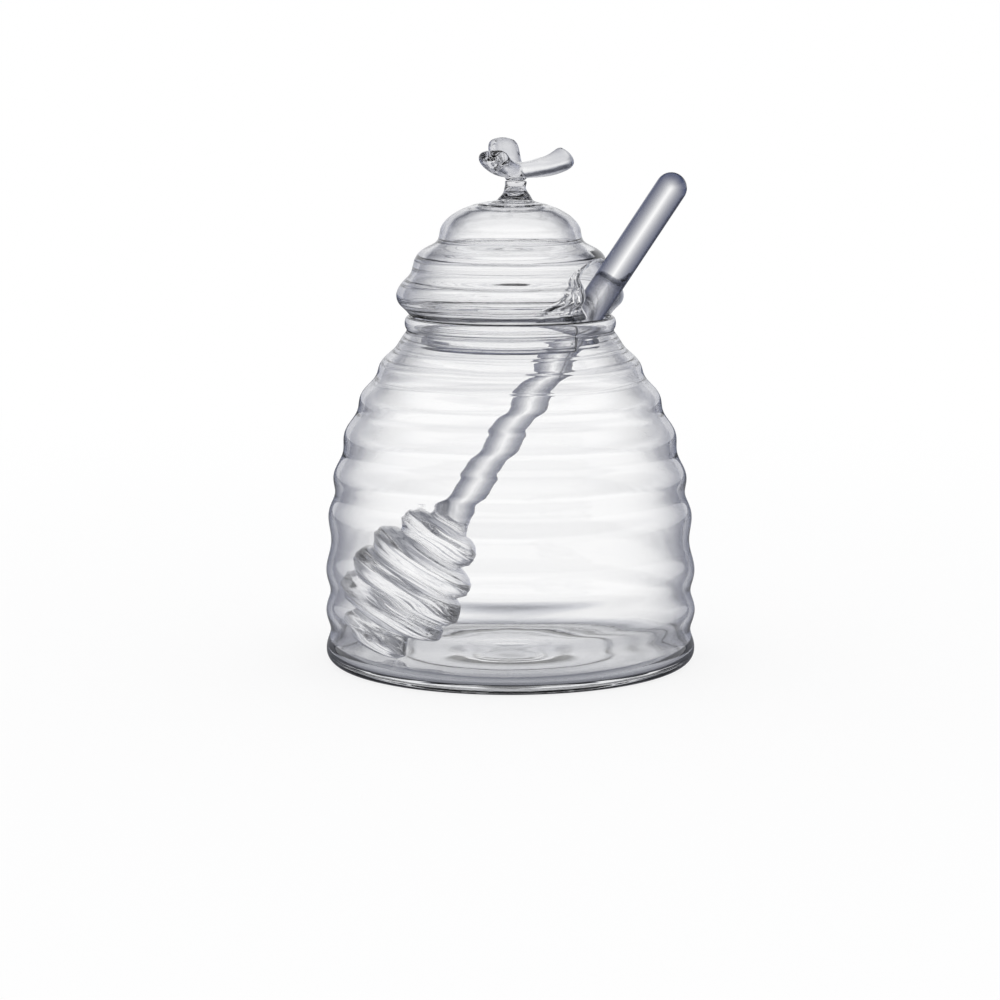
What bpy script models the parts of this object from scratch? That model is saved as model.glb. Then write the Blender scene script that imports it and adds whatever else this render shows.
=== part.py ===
"""Glass beehive honey pot: a ribbed jar, a lift-off lid with a petal finial, and a ringed dipper.

The jar stands on the origin with +Z up. The dipper stands in the jar with its head against the
wall at -X, leans over the rim at +X, and comes out through a notch in the lid. The place where it
comes to rest is worked out from the jar's own sizes, and the notch follows the dipper.
"""

import math

import bmesh
import bpy
import numpy as np
from mathutils import Matrix, Vector

# Sizes shared by the three loose pieces, in metres and degrees
WALL = 0.0018
REST_GAP = 0.0003
SEATING_GAP = 0.0004
CUT_OVERRUN = 0.004
FULL_TURN = math.tau
WIDE_STEPS = 40
NARROW_STEPS = 24
WELD = 0.00001
CORNER_SHARE = 0.97

# Jar
JAR_RADIUS = 0.0550
NECK_HEIGHT = 0.0983
RIM_RISE = 0.0047
JAR_HEIGHT = NECK_HEIGHT + RIM_RISE
NECK_RADIUS = 0.0307
BELLY_POWER = 4.0
SHOULDER_POWER = 1.08
RIB_HEIGHT = 0.00063
RIB_CREST_SHARES = (0.038, 0.155, 0.28, 0.447, 0.567, 0.696, 0.811, 0.91)
RIB_FADE_SHARE = 0.06
POINTS_PER_RIB = 4
BEAD_THICKNESS = 0.0028
BEAD_HEIGHT = 0.0044
FOOT_ROUND = 0.0034
FLOOR = 0.0026
FLOOR_ROUND = 0.0030
PUNT_RADIUS = 0.0440
PUNT_RISE = 0.0010
MOUND_RISE = 0.0012

# Lid
LID_RADIUS = 0.0336
LID_HEIGHT = 0.0337
DOME_RADIUS = 0.0210
DOME_RISE = 0.0105
COLLAR_GAP = 0.0021
COLLAR_DEPTH = 0.0102
SEAT_ROUND = 0.0010
BULGE_OUTLINE_SHARES = (
    (0.662, 0.631),
    (0.620, 0.668),
    (0.560, 0.778),
    (0.500, 0.830),
    (0.430, 0.853),
    (0.357, 0.877),
    (0.280, 0.948),
    (0.220, 0.987),
    (0.160, 1.0),
    (0.100, 0.979),
    (0.040, 0.920),
)
NOTCH_ANGLE = 43.0
NOTCH_TOP = 0.0172
NOTCH_ROUND = 0.0050
NOTCH_ROUND_ANGLE = 10.0
NOTCH_STEPS = 5

# Finial
FINIAL_OFFSET = 0.0015
STEM_RADIUS = 0.0029
STEM_FOOT_RADIUS = 0.0052
STEM_HEIGHT = 0.0052
HUB_RADIUS = 0.0036
HUB_HEIGHT = 0.0040
PETAL_WIDTH = 0.0094
PETAL_THICKNESS = 0.0044
PETAL_DISH = 0.0010
# Each petal: name, direction seen from above, reach from the stem, rise of its tip above its root
PETALS = (
    ("petal_right", 2.0, 0.0165, 0.0050),
    ("petal_back", 116.0, 0.0112, 0.0088),
    ("petal_front", 234.0, 0.0148, 0.0054),
)
PETAL_SPINE_SHARES = ((0.0, 0.0), (0.25, 0.10), (0.50, 0.36), (0.75, 0.78), (0.93, 1.0), (1.0, 1.06))
PETAL_GIRTH_SHARES = (0.62, 0.80, 0.98, 1.0, 0.72, 0.20)

# Dipper
ROD_RADIUS = 0.0046
ROD_LENGTH = 0.1185
HEAD_RADIUS = 0.0178
RING_SHARES = (0.69, 0.92, 1.0, 0.955, 0.58)
RING_PITCH = 0.0088
RING_GROOVE = 0.0022
RING_FULLNESS = 0.7
POINTS_PER_HALF_RING = 3
HEAD_SHOULDER_RADIUS = 0.0062
HEAD_SHOULDER_HEIGHT = 0.0034
HEAD_END_HEIGHT = 0.0030
HEAD_AZIMUTH = 203.0
REST_AZIMUTH = -22.0
SEATING_ROUNDS = 40
SEATING_SAMPLES = 72

# Colours, from the photograph
CLEAR_GLASS = (0.88, 0.89, 0.92, 1.0)
GLASS_ROUGHNESS = 0.03


def clear_scene():
    for old in list(bpy.data.objects):
        bpy.data.objects.remove(old, do_unlink=True)


def new_collection(name):
    made = bpy.data.collections.new(name)
    bpy.context.scene.collection.children.link(made)
    return made


def glass_material(name):
    made = bpy.data.materials.new(name)
    made.use_nodes = True
    shader = made.node_tree.nodes["Principled BSDF"]
    shader.inputs["Base Color"].default_value = CLEAR_GLASS
    shader.inputs["Roughness"].default_value = GLASS_ROUGHNESS
    shader.inputs["Metallic"].default_value = 0.0
    shader.inputs["Transmission Weight"].default_value = 1.0
    made.diffuse_color = CLEAR_GLASS
    return made


def add_object(name, mesh, collection):
    made = bpy.data.objects.new(name, mesh)
    made.data.materials.append(glass_material(name))
    collection.objects.link(made)
    return made


def turned(name, outline, steps, collection):
    """A solid turned about Z from an outline of (radius, height) that runs down the solid's outside."""
    mesh = bpy.data.meshes.new(name)
    points = [(radius, 0.0, height) for radius, height in outline]
    edges = [(i, i + 1) for i in range(len(points) - 1)]
    mesh.from_pydata(points, edges, [])
    made = add_object(name, mesh, collection)
    screw = made.modifiers.new("turn", "SCREW")
    screw.axis = "Z"
    screw.angle = FULL_TURN
    screw.steps = steps
    screw.render_steps = steps
    screw.use_merge_vertices = True
    screw.merge_threshold = WELD
    screw.use_smooth_shade = True
    return made


def arc(centre, half_width, half_height, start, end, count):
    """Points on an ellipse about a centre, from one angle to another in degrees."""
    angles = np.radians(np.linspace(start, end, count))
    return np.stack(
        [centre[0] + half_width * np.cos(angles), centre[1] + half_height * np.sin(angles)], axis=1
    )


def inset(path, depth):
    """The path moved sideways by a depth, to the right of its direction of travel.

    Points that a tight corner brings nearer to the path than the depth are left out.
    """
    along = np.gradient(path, axis=0)
    along /= np.linalg.norm(along, axis=1, keepdims=True)
    moved = path + depth * np.stack([along[:, 1], -along[:, 0]], axis=1)
    nearest = np.linalg.norm(moved[:, None] - path[None], axis=2).min(axis=1)
    return moved[nearest > depth * CORNER_SHARE]


def smooth_curve(points, per_span):
    """A Catmull-Rom curve through the points, with some more between each two of them."""
    points = np.asarray(points, dtype=float)
    before = np.vstack([2 * points[0] - points[1], points])
    ends = np.vstack([before, 2 * points[-1] - points[-2]])
    made = []
    for p0, p1, p2, p3 in zip(ends, ends[1:], ends[2:], ends[3:]):
        for t in np.arange(per_span) / per_span:
            bend = (2 * p0 - 5 * p1 + 4 * p2 - p3) * t**2 + (3 * p1 - p0 - 3 * p2 + p3) * t**3
            made.append(p1 + 0.5 * ((p2 - p0) * t + bend))
    made.append(points[-1])
    return np.array(made)


# Jar


def rib_heights(phases):
    """Heights, as shares of the neck's, of the given phases of the ribs' wave. Whole phases are crests."""
    crests = np.array(RIB_CREST_SHARES)
    below = 2 * crests[0] - crests[1]
    above = 2 * crests[-1] - crests[-2]
    return np.interp(phases, np.arange(-1, len(crests) + 1), [below, *crests, above])


def jar_radius(share):
    """Outer radius of the jar at a share of the neck's height: a dome curve with a wave on it."""
    share = np.asarray(share, dtype=float)
    phases = np.linspace(-1, len(RIB_CREST_SHARES), 40 * len(RIB_CREST_SHARES))
    phase = np.interp(share, rib_heights(phases), phases)
    belly = JAR_RADIUS - RIB_HEIGHT
    dome = NECK_RADIUS + (belly - NECK_RADIUS) * (1 - share**BELLY_POWER) ** SHOULDER_POWER
    fade = np.clip((1 - share) / RIB_FADE_SHARE, 0.0, 1.0)
    return dome + RIB_HEIGHT * fade * np.cos(FULL_TURN * phase)


def jar_wall():
    """The outer wall from the neck down to the foot's rounding, as (radius, height)."""
    shares = rib_heights(np.arange(len(RIB_CREST_SHARES) * POINTS_PER_RIB) / POINTS_PER_RIB)
    shares = np.append(shares[shares < 1 - RIB_FADE_SHARE / 4], 1.0)
    lowest = FOOT_ROUND / NECK_HEIGHT
    shares = np.insert(shares[shares > lowest + RIB_FADE_SHARE / 4], 0, lowest)
    return np.stack([jar_radius(shares), shares * NECK_HEIGHT], axis=1)[::-1]


def jar_inner_wall():
    """The inner wall from the neck down, one wall inside the outer one."""
    return inset(jar_wall(), WALL)


def rim_bead(start, end, count):
    centre = (NECK_RADIUS - WALL / 2, JAR_HEIGHT - BEAD_HEIGHT / 2)
    return arc(centre, BEAD_THICKNESS / 2, BEAD_HEIGHT / 2, start, end, count)


def inner_radius(height):
    """Inner radius of the jar at a height, bead included, without the floor's rounding."""
    inner = np.vstack([jar_inner_wall()[::-1], rim_bead(230, 90, 9)])
    return np.interp(height, inner[:, 1], inner[:, 0])


def swell(radius):
    """One on the axis, falling smoothly to nothing at the edge of the floor's mound."""
    return 0.5 + 0.5 * np.cos(np.pi * np.clip(radius / PUNT_RADIUS, 0.0, 1.0))


def floor_height(radius):
    return FLOOR + MOUND_RISE * swell(radius)


def jar_outline():
    wall = jar_wall()
    inner = jar_inner_wall()[::-1]
    inner = inner[inner[:, 1] > FLOOR + FLOOR_ROUND + WALL / 2]
    foot = arc((wall[-1, 0] - FOOT_ROUND, FOOT_ROUND), FOOT_ROUND, FOOT_ROUND, 0, -90, 4)
    bead = rim_bead(230, -50, 9)
    low = float(inner_radius(FLOOR + FLOOR_ROUND))
    corner = arc((low - FLOOR_ROUND, FLOOR + FLOOR_ROUND), FLOOR_ROUND, FLOOR_ROUND, -90, 0, 4)
    radii = np.linspace(0, PUNT_RADIUS, 5)
    floor = np.stack([radii, floor_height(radii)], axis=1)
    under = np.stack([radii, PUNT_RISE * swell(radii)], axis=1)[::-1]
    return np.vstack([floor, corner, inner, bead, wall, foot[1:], under])


def build_jar(collection):
    return turned("jar_body", jar_outline(), WIDE_STEPS, collection)


# Lid


def lid_seat_height():
    return JAR_HEIGHT + REST_GAP


def collar_radius():
    return NECK_RADIUS - WALL / 2 - BEAD_THICKNESS / 2 - COLLAR_GAP


def lid_outer():
    """The lid's outside from the top of the dome to the foot of its collar, as (radius, height)."""
    seat = lid_seat_height()
    top = seat + LID_HEIGHT
    dome = arc((0.0, top - DOME_RISE), DOME_RADIUS, DOME_RISE, 90, 12, 7)
    bulges = [(LID_RADIUS * r, seat + LID_HEIGHT * z) for z, r in BULGE_OUTLINE_SHARES]
    seat_edge = (NECK_RADIUS - WALL / 2, seat)
    bulges = smooth_curve([dome[-1], *bulges, seat_edge], 2)
    collar = collar_radius()
    corner = arc((collar + SEAT_ROUND, seat - SEAT_ROUND), SEAT_ROUND, SEAT_ROUND, 90, 180, 3)
    foot = [(collar, seat - COLLAR_DEPTH + WALL / 2)]
    return np.vstack([dome[:-1], bulges, corner, foot])


def lid_outline():
    outer = lid_outer()
    inner = inset(outer, WALL)
    inner[0] = (0.0, outer[0, 1] - WALL)
    inner[-1] = (outer[-1, 0] - WALL, outer[-1, 1])
    lip = arc(((outer[-1, 0] + inner[-1, 0]) / 2, outer[-1, 1]), WALL / 2, WALL / 2, 180, 360, 5)
    return np.vstack([inner[:-1], lip, outer[::-1][1:]])[::-1]


def notch_outline():
    """Half of the notch's arch, foot to top, as (degrees from the notch's middle, height)."""
    seat = lid_seat_height()
    side = NOTCH_ANGLE / 2
    foot = (side, seat - COLLAR_DEPTH - CUT_OVERRUN)
    corner = (side - NOTCH_ROUND_ANGLE, seat + NOTCH_TOP - NOTCH_ROUND)
    return np.vstack([[foot], arc(corner, NOTCH_ROUND_ANGLE, NOTCH_ROUND, 0, 90, NOTCH_STEPS)])


def add_notch_cutter(collection):
    """A wedge that widens away from the lid's axis, arched at its top and open at its foot."""
    half = notch_outline()
    arch = np.vstack([half, half[::-1] * (-1, 1)])
    cage = bmesh.new()
    for reach in (collar_radius() / 2, LID_RADIUS + CUT_OVERRUN):
        for angle, height in arch:
            turn = math.radians(REST_AZIMUTH + angle)
            cage.verts.new((reach * math.cos(turn), reach * math.sin(turn), height))
    bmesh.ops.convex_hull(cage, input=cage.verts)
    mesh = bpy.data.meshes.new("notch_cutter")
    cage.to_mesh(mesh)
    cage.free()
    cutter = bpy.data.objects.new("notch_cutter", mesh)
    collection.objects.link(cutter)
    cutter.hide_render = True
    cutter.display_type = "WIRE"
    return cutter


def build_lid(collection, cutters):
    lid = turned("lid_shell", lid_outline(), WIDE_STEPS, collection)
    cut = lid.modifiers.new("notch", "BOOLEAN")
    cut.operation = "DIFFERENCE"
    cut.solver = "EXACT"
    cut.object = add_notch_cutter(cutters)
    return lid


# Finial


def stem_base():
    return lid_seat_height() + LID_HEIGHT + REST_GAP


def hub_centre():
    return (FINIAL_OFFSET, 0.0, stem_base() + STEM_HEIGHT + HUB_HEIGHT / 2)


def build_stem(collection):
    """The stem flares into a foot on the dome and carries a rounded hub."""
    base = stem_base()
    flare = smooth_curve(
        [
            (STEM_RADIUS * 1.04, base + STEM_HEIGHT),
            (STEM_RADIUS, base + STEM_HEIGHT * 0.62),
            (STEM_RADIUS * 1.24, base + STEM_HEIGHT * 0.28),
            (STEM_FOOT_RADIUS, base),
        ],
        2,
    )
    hub = arc((0.0, base + STEM_HEIGHT + HUB_HEIGHT / 2), HUB_RADIUS, HUB_HEIGHT / 2, 90, -40, 7)
    outline = np.vstack([hub, flare, [(0.0, base)]])
    stem = turned("finial_stem", outline, NARROW_STEPS, collection)
    stem.location = (FINIAL_OFFSET, 0.0, 0.0)
    return stem


def petal_mesh(name, reach, rise):
    """A spoon: a tube along a rising spine, widened sideways, with its long edges turned up."""
    path = bpy.data.curves.new(name, "CURVE")
    path.dimensions = "3D"
    path.bevel_depth = 1.0
    path.bevel_resolution = 3
    path.use_fill_caps = True
    root = HUB_RADIUS + REST_GAP
    ends = [(root + (reach - root) * x, rise * z) for x, z in PETAL_SPINE_SHARES]
    spine = smooth_curve(ends, 2)
    girth = smooth_curve([(share, 0.0) for share in PETAL_GIRTH_SHARES], 2)[:, 0]
    line = path.splines.new("POLY")
    line.points.add(len(spine) - 1)
    for point, (x, z), share in zip(line.points, spine, girth):
        point.co = (x, 0.0, z, 1.0)
        point.radius = share * PETAL_THICKNESS / 2
    guide = bpy.data.objects.new(name, path)
    bpy.context.scene.collection.objects.link(guide)
    bpy.context.view_layer.update()
    mesh = bpy.data.meshes.new_from_object(guide.evaluated_get(bpy.context.evaluated_depsgraph_get()))
    bpy.data.objects.remove(guide, do_unlink=True)
    bpy.data.curves.remove(path)
    widen = PETAL_WIDTH / PETAL_THICKNESS
    for vertex in mesh.vertices:
        vertex.co.y *= widen
        vertex.co.z += PETAL_DISH * (2 * vertex.co.y / PETAL_WIDTH) ** 2
    cage = bmesh.new()
    cage.from_mesh(mesh)
    bmesh.ops.remove_doubles(cage, verts=cage.verts, dist=WELD)
    bmesh.ops.recalc_face_normals(cage, faces=cage.faces)
    cage.to_mesh(mesh)
    cage.free()
    mesh.name = name
    mesh.shade_smooth()
    return mesh


def build_petals(collection):
    made = []
    for name, direction, reach, rise in PETALS:
        petal = add_object(name, petal_mesh(name, reach, rise), collection)
        petal.location = hub_centre()
        petal.rotation_euler = (0.0, 0.0, math.radians(direction))
        made.append(petal)
    return made


# Dipper


def ring_centres():
    """Places of the rings along the dipper, from its origin at the widest ring."""
    widest = RING_SHARES.index(max(RING_SHARES))
    return [(widest - i) * RING_PITCH for i in range(len(RING_SHARES))]


def head_top():
    return ring_centres()[0] + RING_PITCH / 2 + HEAD_SHOULDER_HEIGHT


def head_outline():
    """Rings with round rims and sharp grooves, below a small shoulder that narrows to the rod."""
    radii = [HEAD_RADIUS * share for share in RING_SHARES]
    centres = ring_centres()
    grooves = [min(a, b) - RING_GROOVE for a, b in zip(radii, radii[1:])]
    above = [HEAD_SHOULDER_RADIUS, *grooves]
    shoulder_top = head_top()
    points = [(0.0, shoulder_top), (ROD_RADIUS, shoulder_top)]
    points.append(((ROD_RADIUS + HEAD_SHOULDER_RADIUS) / 2, shoulder_top - HEAD_SHOULDER_HEIGHT / 3))
    rise = np.arange(POINTS_PER_HALF_RING) / POINTS_PER_HALF_RING
    swell = np.sin(rise * math.pi / 2) ** RING_FULLNESS
    for i, (radius, centre) in enumerate(zip(radii, centres)):
        points += zip(above[i] + (radius - above[i]) * swell, centre + (1 - rise) * RING_PITCH / 2)
        if i < len(grooves):
            points.append((radius, centre))
            fall = swell[:0:-1]
            down = 1 - rise[:0:-1]
            points += zip(grooves[i] + (radius - grooves[i]) * fall, centre - down * RING_PITCH / 2)
    last = radii[-1]
    points += arc((last / 2, centres[-1]), last / 2, HEAD_END_HEIGHT, 0, -90, 5).tolist()
    points.append((0.0, centres[-1] - HEAD_END_HEIGHT))
    return np.array(points)


def dipper_frame(middle, direction):
    """Matrix that stands the dipper's own Z along a direction, with its origin at a point."""
    turn = Vector((0.0, 0.0, 1.0)).rotation_difference(Vector(direction)).to_matrix().to_4x4()
    return Matrix.Translation(Vector(middle)) @ turn


def turned_skin(outline):
    """Points all over the solid that an outline turns, one column each."""
    spin = np.linspace(0, FULL_TURN, SEATING_SAMPLES, endpoint=False)
    rings = [(r * np.cos(spin), r * np.sin(spin), np.full_like(spin, z)) for r, z in outline]
    return np.hstack(rings)


def level_direction(azimuth):
    return np.array([math.cos(math.radians(azimuth)), math.sin(math.radians(azimuth)), 0.0])


def seated_dipper():
    """The frame in which the dipper stands on the floor, against the wall and over the rim.

    The head is moved down and outward, and the rod outward at the rim, until each is one seating
    gap away from what stops it. Moving one moves the others a little, so it is done in rounds.
    """
    head = turned_skin(head_outline())
    heights = np.linspace(0, ROD_LENGTH, SEATING_SAMPLES)
    rod = turned_skin([(ROD_RADIUS, head_top() + REST_GAP + z) for z in heights])
    out, lift, over = JAR_RADIUS / 2, JAR_HEIGHT / 4, NECK_RADIUS / 2
    frame = Matrix.Identity(4)
    for _ in range(SEATING_ROUNDS):
        foot = level_direction(HEAD_AZIMUTH) * out + np.array([0.0, 0.0, lift])
        rim = level_direction(REST_AZIMUTH) * over + np.array([0.0, 0.0, JAR_HEIGHT])
        frame = dipper_frame(foot, rim - foot)
        turn = np.array(frame.to_3x3())
        placed = turn @ head + foot[:, None]
        radii = np.hypot(placed[0], placed[1])
        out += float((inner_radius(placed[2]) - radii).min()) - SEATING_GAP
        lift -= float((placed[2] - floor_height(radii)).min()) - SEATING_GAP
        passed = turn @ rod + foot[:, None]
        inside = passed[:, (passed[2] > NECK_HEIGHT / 2) & (passed[2] < JAR_HEIGHT)]
        spare = inner_radius(inside[2]) - np.hypot(inside[0], inside[1])
        over += float(spare.min()) - SEATING_GAP
    return frame


def rod_outline():
    base = head_top() + REST_GAP
    top = base + ROD_LENGTH
    tip = arc((0.0, top - ROD_RADIUS), ROD_RADIUS, ROD_RADIUS, 90, 0, 6)
    return np.vstack([tip, [(ROD_RADIUS, base), (0.0, base)]])


def build_dipper(collection):
    axis = bpy.data.objects.new("dipper_axis", None)
    axis.empty_display_size = HEAD_RADIUS
    axis.matrix_world = seated_dipper()
    collection.objects.link(axis)
    head = turned("dipper_head", head_outline(), NARROW_STEPS, collection)
    rod = turned("dipper_rod", rod_outline(), NARROW_STEPS, collection)
    for piece in (head, rod):
        piece.parent = axis
    return head, rod


def main():
    clear_scene()
    pot = new_collection("honey_pot")
    cutters = new_collection("cutters")
    build_jar(pot)
    build_lid(pot, cutters)
    build_stem(pot)
    build_petals(pot)
    build_dipper(pot)


if __name__ == "__main__":
    main()
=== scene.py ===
"""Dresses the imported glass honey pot: jar, lid, petal finial and dipper in clear glass, on a white table.

Lengths are in metres, angles in degrees, unless a property's unit says otherwise. A share is a part of
the length that its name gives.
"""

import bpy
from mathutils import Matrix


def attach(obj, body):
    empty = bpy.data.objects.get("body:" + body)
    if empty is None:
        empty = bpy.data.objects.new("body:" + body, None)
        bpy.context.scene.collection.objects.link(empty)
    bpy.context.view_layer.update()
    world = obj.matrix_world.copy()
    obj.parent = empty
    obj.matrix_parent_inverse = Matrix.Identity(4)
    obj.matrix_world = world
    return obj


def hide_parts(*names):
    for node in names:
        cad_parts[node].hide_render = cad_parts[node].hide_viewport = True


bl_info = {
    "name": "Beehive Honey Pot",
    "version": (1, 0, 0),
    "blender": (4, 5, 0),
    "location": "View3D > Sidebar > Honey Pot",
    "description": "Builds the glass of a beehive honey pot around its packed solids, and a stage for it",
    "category": "Add Mesh",
}

import math

import bmesh
import bpy
import numpy as np
from bpy.props import FloatProperty, FloatVectorProperty, PointerProperty
from bpy.types import Operator, Panel, PropertyGroup
from mathutils import Euler, Matrix, Vector

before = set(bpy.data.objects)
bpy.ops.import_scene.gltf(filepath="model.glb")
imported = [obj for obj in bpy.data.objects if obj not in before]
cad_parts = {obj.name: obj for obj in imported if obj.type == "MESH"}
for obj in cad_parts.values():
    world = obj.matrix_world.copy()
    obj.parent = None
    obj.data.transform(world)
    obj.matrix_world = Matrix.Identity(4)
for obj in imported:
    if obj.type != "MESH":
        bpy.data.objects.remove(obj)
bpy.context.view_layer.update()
TURN = math.tau
SENSOR = 36.0
WELD = 0.000002


# Shader expressions


# Settings of a mapping that turns and stretches places
POINTS = {"vector_type": "POINT"}


class Wire:
    """A socket of a node tree that can be added, multiplied and raised to a power."""

    def __init__(self, tree, socket):
        self.tree = tree
        self.socket = socket

    def node(self, kind, settings=None, inputs=None, output=0):
        """One node: its settings are set first, then its inputs get values or links."""
        made = self.tree.nodes.new(kind)
        for name, value in (settings or {}).items():
            setattr(made, name, value)
        for name, value in (inputs or {}).items():
            if isinstance(value, Wire):
                value.into(made.inputs[name])
            else:
                made.inputs[name].default_value = value
        return Wire(self.tree, made.outputs[output])

    def into(self, target):
        """Links this socket to an input."""
        self.tree.links.new(self.socket, target)

    def maths(self, operation, *values):
        """What an operation makes of wires and numbers."""
        return self.node("ShaderNodeMath", {"operation": operation}, dict(enumerate(values)))

    def vector(self, operation, *values, output=0):
        """What an operation on vectors makes of this one and others."""
        settings = {"operation": operation}
        return self.node("ShaderNodeVectorMath", settings, dict(enumerate([self, *values])), output)

    def __add__(self, other):
        return self.maths("ADD", self, other)

    def __sub__(self, other):
        return self.maths("SUBTRACT", self, other)

    def __rsub__(self, other):
        return self.maths("SUBTRACT", other, self)

    def __mul__(self, other):
        return self.maths("MULTIPLY", self, other)

    def __pow__(self, other):
        return self.maths("POWER", self, other)

    __radd__ = __add__
    __rmul__ = __mul__

    def ease(self, low, high):
        """Nothing below low, one above high, and a smooth step between."""
        settings = {"interpolation_type": "SMOOTHSTEP"}
        inputs = {"Value": self, "From Min": low, "From Max": high}
        return self.node("ShaderNodeMapRange", settings, inputs)

    def fall(self):
        """exp(-x), which falls from one at nothing."""
        return self.maths("EXPONENT", self * -1.0)

    def blend(self, low, high):
        """A colour between two, by this share."""
        settings = {"data_type": "RGBA"}
        return self.node("ShaderNodeMix", settings, {0: self, 6: low, 7: high}, output=2)

    def part(self, name):
        """X, Y or Z of a vector."""
        return self.node("ShaderNodeSeparateXYZ", None, {0: self}, output="XYZ".index(name))

    def noise(self, scale, detail, stretch=(1.0, 1.0, 1.0)):
        """Cloudy noise over a place, from nothing to one, stretched along the axes."""
        place = self.node("ShaderNodeMapping", POINTS, {"Vector": self, "Scale": stretch})
        inputs = {"Vector": place, "Scale": scale, "Detail": detail}
        return self.node("ShaderNodeTexNoise", None, inputs)


def empty_tree(owner):
    """A wire in the emptied node tree of a material or world, and the inputs of its output node."""
    owner.use_nodes = True
    tree = owner.node_tree
    for old in list(tree.nodes):
        if not old.bl_idname.startswith("ShaderNodeOutput"):
            tree.nodes.remove(old)
    return Wire(tree, None), next(iter(tree.nodes)).inputs


def opaque(rgb):
    """A colour with full alpha."""
    return (*rgb, 1.0)


# Surfaces


def grid_faces(rows, columns, closed=True):
    """Quads of a grid of points, rows by columns, that closes round its columns or nowhere."""
    row = np.arange(rows - 1)[:, None] * columns
    here = np.arange(columns if closed else columns - 1)[None, :]
    after = (here + 1) % columns
    quads = np.stack([row + here, row + after, row + columns + after, row + columns + here], axis=-1)
    return quads.reshape(-1, 4)


def fan(pole, ring, outward):
    """Triangles from a pole to a ring of points."""
    after = np.roll(ring, -1)
    pole = np.full_like(ring, pole)
    order = (pole, ring, after) if outward else (pole, after, ring)
    return np.stack(order, axis=1)


def new_piece(name, points, faces):
    """A smooth mesh object at the origin, from an array of points and a list of arrays of faces."""
    mesh = bpy.data.meshes.new(name)
    mesh.from_pydata(points.reshape(-1, 3).tolist(), [], [f for part in faces for f in part.tolist()])
    mesh.validate()
    mesh.shade_smooth()
    made = bpy.data.objects.new(name, mesh)
    bpy.context.scene.collection.objects.link(made)
    return made


def round_angles(columns):
    """A row of angles at even steps round the axis."""
    return np.linspace(0.0, TURN, columns, endpoint=False)[None, :]


def turned_grid(outline, columns, reach=0.0):
    """Grid of an outline (radius, height) turned about Z, with reach added to the radius.

    A point of row i at angle a is (r cos a, r sin a, z), where r and z are the outline's.
    """
    angles = round_angles(columns)
    radius = outline[:, :1] + reach
    height = np.repeat(outline[:, 1:], columns, axis=1)
    return np.stack([radius * np.cos(angles), radius * np.sin(angles), height], axis=-1)


def capped(grid, poles, outward):
    """Points and faces of a grid that closes round its columns, with a fan to a pole at each end."""
    rows, columns = grid.shape[:2]
    first = np.arange(columns)
    quads = grid_faces(rows, columns)
    faces = [
        quads[:, ::-1] if outward else quads,
        fan(rows * columns, first, outward),
        fan(rows * columns + 1, first + (rows - 1) * columns, not outward),
    ]
    return np.vstack([grid.reshape(-1, 3), poles]), faces


def turned_piece(name, outline, columns, reach):
    """A closed solid: the outline turned about Z, with a pole at each end on the axis."""
    poles = np.array([[0.0, 0.0, outline[0, 1]], [0.0, 0.0, outline[-1, 1]]])
    return new_piece(name, *capped(turned_grid(outline[1:-1], columns, reach[1:-1]), poles, True))


def smooth_step(value, low, high):
    """Nothing below low, one above high, and a smooth step between."""
    part = np.clip((value - low) / (high - low), 0.0, 1.0)
    return part * part * (3 - 2 * part)


def arc(centre, half_width, half_height, start, end, count):
    """Points on an ellipse about a centre, from one angle to another in degrees."""
    turn = np.radians(np.linspace(start, end, count))
    return np.stack([centre[0] + half_width * np.cos(turn), centre[1] + half_height * np.sin(turn)], axis=1)


def normals(path):
    """Unit vectors to the right of the path's direction of travel."""
    along = np.gradient(path, axis=0)
    along /= np.linalg.norm(along, axis=1, keepdims=True)
    return np.stack([along[:, 1], -along[:, 0]], axis=1)


INSET_MARGIN = 0.985


def inset(path, depth):
    """The path moved to its right by a depth, without the points that a tight corner folds back."""
    moved = path + depth * normals(path)
    nearest = np.linalg.norm(moved[:, None] - path[None], axis=2).min(axis=1)
    return moved[nearest > INSET_MARGIN * depth]


def travelled(path):
    """Distance gone along the path at each of its points."""
    return np.r_[0.0, np.cumsum(np.linalg.norm(np.diff(path, axis=0), axis=1))]


def at_distance(path, distances):
    """Points of the path at the given distances along it."""
    gone = travelled(path)
    return np.stack([np.interp(distances, gone, path[:, i]) for i in range(path.shape[1])], axis=1)


def spaced(path, count):
    """The path with a number of points at even distances along it."""
    return at_distance(path, np.linspace(0.0, travelled(path)[-1], count))


def smooth_curve(points, per_span):
    """A Catmull-Rom curve through the points, with a number of points on each span."""
    points = np.asarray(points, dtype=float)
    ends = np.vstack([2 * points[0] - points[1], points, 2 * points[-1] - points[-2]])
    p0, p1, p2, p3 = ends[:-3, None], ends[1:-2, None], ends[2:-1, None], ends[3:, None]
    t = (np.arange(per_span) / per_span)[None, :, None]
    made = p1 + 0.5 * (
        (p2 - p0) * t + (2 * p0 - 5 * p1 + 4 * p2 - p3) * t**2 + (3 * p1 - p0 - 3 * p2 + p3) * t**3
    )
    return np.vstack([made.reshape(-1, points.shape[1]), points[-1]])


def out_of(section, way):
    """The unit vector nearest to a way that is at right angles to a section's diameter."""
    step = section[0] - section[-1]
    step = step / np.linalg.norm(step)
    out = way - step * (way @ step)
    return out / np.linalg.norm(out)


def weld(piece):
    """Joins points of the mesh that lie together and turns all faces outward."""
    cage = bmesh.new()
    cage.from_mesh(piece.data)
    bmesh.ops.remove_doubles(cage, verts=cage.verts, dist=WELD)
    bmesh.ops.recalc_face_normals(cage, faces=cage.faces)
    cage.to_mesh(piece.data)
    cage.free()
    piece.data.shade_smooth()


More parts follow.
